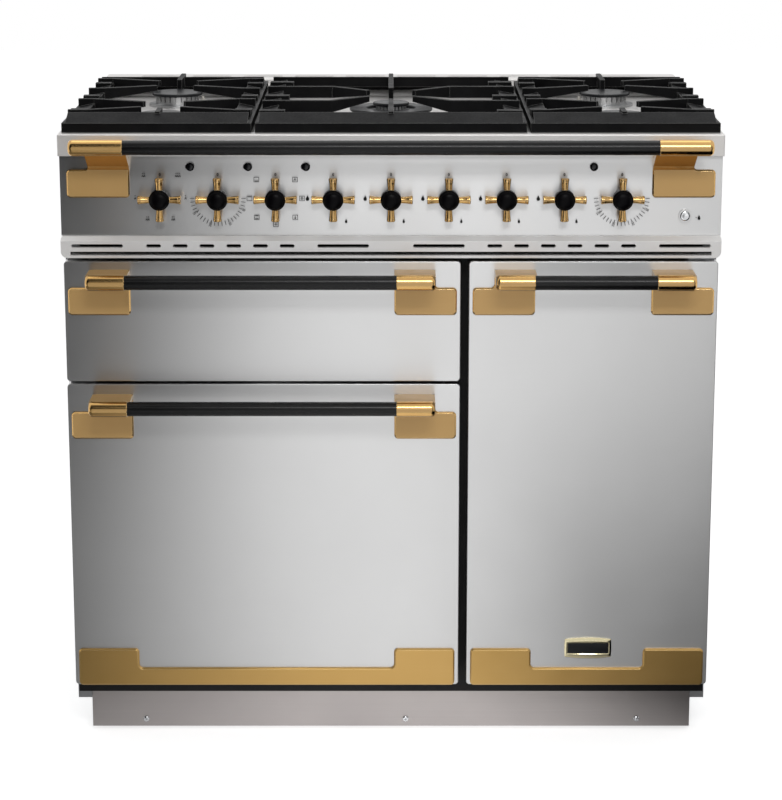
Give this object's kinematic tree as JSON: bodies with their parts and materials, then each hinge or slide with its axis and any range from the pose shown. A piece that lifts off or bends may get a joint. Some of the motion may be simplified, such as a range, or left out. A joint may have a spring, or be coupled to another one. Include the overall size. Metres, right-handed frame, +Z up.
{
  "type": "cooking stove",
  "caption": "Free-standing range cooker with a gas hob, two side-hinged ovens, a pull-out grill, cross-shaped knobs and brass-ended rail handles.",
  "frame": {"origin": "bottom centre of the bounding box, on the floor", "axes": "+X to the right seen from the front, +Y from the fronts to the rear cover, +Z up"},
  "size_m": [0.9, 0.666, 0.895],
  "materials": {
    "aluminium": "cast",
    "black_bar": "satin",
    "black_frame": "matt",
    "black_plastic": "matt",
    "brass": "satin brushed",
    "cast_iron": "matt enamel",
    "ceramic": "glazed",
    "chromed": "bright",
    "element": "oxidised",
    "enamel": "gloss enamel",
    "galvanised": "matt",
    "lens": "gloss",
    "rubber": "matt",
    "side_paint": "satin",
    "stainless": "brushed",
    "stainless_bright": "satin"
  },
  "bodies": {
    "carcass": {"base_frame": "galvanised", "burner_caps": "enamel", "burner_heads": "aluminium", "control_bodies": "black_plastic", "control_panel": "stainless", "door_seals": "rubber", "fan_covers": "enamel", "fan_motors": "galvanised", "front_frame": "black_frame", "front_rail": "black_bar", "gas_manifold": "galvanised", "grill_chamber": "enamel", "heating_elements": "element", "hinge_brackets": "galvanised", "hotplate": "stainless_bright", "indicator_lamps": "lens", "levelling_feet": "black_plastic", "main_oven_cavity": "enamel", "oven_racks": "chromed", "plinth": "stainless", "plinth_screws": "galvanised", "rail_brackets": "brass", "rear_cover": "galvanised", "rear_vent": "stainless_bright", "side_panel_left": "side_paint", "side_panel_right": "side_paint", "spark_electrodes": "ceramic", "tall_oven_cavity": "enamel", "vent_trim": "stainless"},
    "grill_drawer": {"grill_front_panel": "stainless", "grill_front_liner": "enamel", "grill_handle_brackets": "brass", "grill_handle_bar": "black_bar", "grill_pan": "enamel", "grill_trivet": "chromed"},
    "main_door": {"main_door_panel": "stainless", "main_door_liner": "enamel", "main_handle_brackets": "brass", "main_handle_bar": "black_bar", "main_kick_plate": "brass"},
    "tall_door": {"tall_door_panel": "stainless", "tall_door_liner": "enamel", "tall_handle_brackets": "brass", "tall_handle_bar": "black_bar", "tall_kick_plate": "brass"},
    "knob_1_body": {"knob_1": "brass"},
    "knob_2_body": {"knob_2": "brass"},
    "knob_3_body": {"knob_3": "brass"},
    "knob_4_body": {"knob_4": "brass"},
    "knob_5_body": {"knob_5": "brass"},
    "knob_6_body": {"knob_6": "brass"},
    "knob_7_body": {"knob_7": "brass"},
    "knob_8_body": {"knob_8": "brass"},
    "knob_9_body": {"knob_9": "brass"},
    "spark_button": {"igniter_button": "chromed"},
    "main_fan": {"main_oven_fan": "aluminium"},
    "tall_fan": {"tall_oven_fan": "aluminium"},
    "left_pan_support": {"pan_support_left": "cast_iron"},
    "centre_pan_support": {"pan_support_centre": "cast_iron"},
    "right_pan_support": {"pan_support_right": "cast_iron"}
  },
  "joints": [
    {"name": "grill_drawer_slide", "type": "slide", "parent": "carcass", "child": "grill_drawer", "axis": [0, -1, 0], "range_m": [0, 0.3]},
    {"name": "main_door_hinge", "type": "hinge", "parent": "carcass", "child": "main_door", "pos_m": [-0.4338, -0.252, 0.0871], "axis": [0, 0, -1], "range_deg": [0, 105]},
    {"name": "tall_door_hinge", "type": "hinge", "parent": "carcass", "child": "tall_door", "pos_m": [0.4338, -0.252, 0.0871], "axis": [0, 0, 1], "range_deg": [0, 105]},
    {"name": "knob_1_turn", "type": "hinge", "parent": "carcass", "child": "knob_1_body", "pos_m": [-0.3128, -0.264, 0.782], "axis": [0, 1, 0], "range_deg": [-140, 140]},
    {"name": "knob_2_turn", "type": "hinge", "parent": "carcass", "child": "knob_2_body", "pos_m": [-0.2346, -0.264, 0.782], "axis": [0, 1, 0], "range_deg": [0, 270]},
    {"name": "knob_3_turn", "type": "hinge", "parent": "carcass", "child": "knob_3_body", "pos_m": [-0.1564, -0.264, 0.782], "axis": [0, 1, 0], "continuous": true},
    {"name": "knob_4_turn", "type": "hinge", "parent": "carcass", "child": "knob_4_body", "pos_m": [-0.0782, -0.264, 0.782], "axis": [0, -1, 0], "range_deg": [0, 211]},
    {"name": "knob_5_turn", "type": "hinge", "parent": "carcass", "child": "knob_5_body", "pos_m": [0, -0.264, 0.782], "axis": [0, -1, 0], "range_deg": [0, 211]},
    {"name": "knob_6_turn", "type": "hinge", "parent": "carcass", "child": "knob_6_body", "pos_m": [0.0782, -0.264, 0.782], "axis": [0, -1, 0], "range_deg": [0, 211]},
    {"name": "knob_7_turn", "type": "hinge", "parent": "carcass", "child": "knob_7_body", "pos_m": [0.1564, -0.264, 0.782], "axis": [0, -1, 0], "range_deg": [0, 211]},
    {"name": "knob_8_turn", "type": "hinge", "parent": "carcass", "child": "knob_8_body", "pos_m": [0.2346, -0.264, 0.782], "axis": [0, -1, 0], "range_deg": [0, 211]},
    {"name": "knob_9_turn", "type": "hinge", "parent": "carcass", "child": "knob_9_body", "pos_m": [0.3128, -0.264, 0.782], "axis": [0, 1, 0], "range_deg": [0, 270]},
    {"name": "spark_button_press", "type": "slide", "parent": "carcass", "child": "spark_button", "axis": [0, 1, 0], "range_m": [0, 0.003], "stiffness_N_per_m": 300, "springref_m": -0.001},
    {"name": "main_fan_spin", "type": "hinge", "parent": "carcass", "child": "main_fan", "pos_m": [-0.17535, 0.2445, 0.3074], "axis": [0, 1, 0], "continuous": true},
    {"name": "tall_fan_spin", "type": "hinge", "parent": "carcass", "child": "tall_fan", "pos_m": [0.276, 0.2445, 0.3932], "axis": [0, 1, 0], "continuous": true},
    {"name": "left_pan_support_lift", "type": "slide", "parent": "carcass", "child": "left_pan_support", "axis": [0, 0, 1], "range_m": [0, 0.06]},
    {"name": "centre_pan_support_lift", "type": "slide", "parent": "carcass", "child": "centre_pan_support", "axis": [0, 0, 1], "range_m": [0, 0.06]},
    {"name": "right_pan_support_lift", "type": "slide", "parent": "carcass", "child": "right_pan_support", "axis": [0, 0, 1], "range_m": [0, 0.06]}
  ]
}
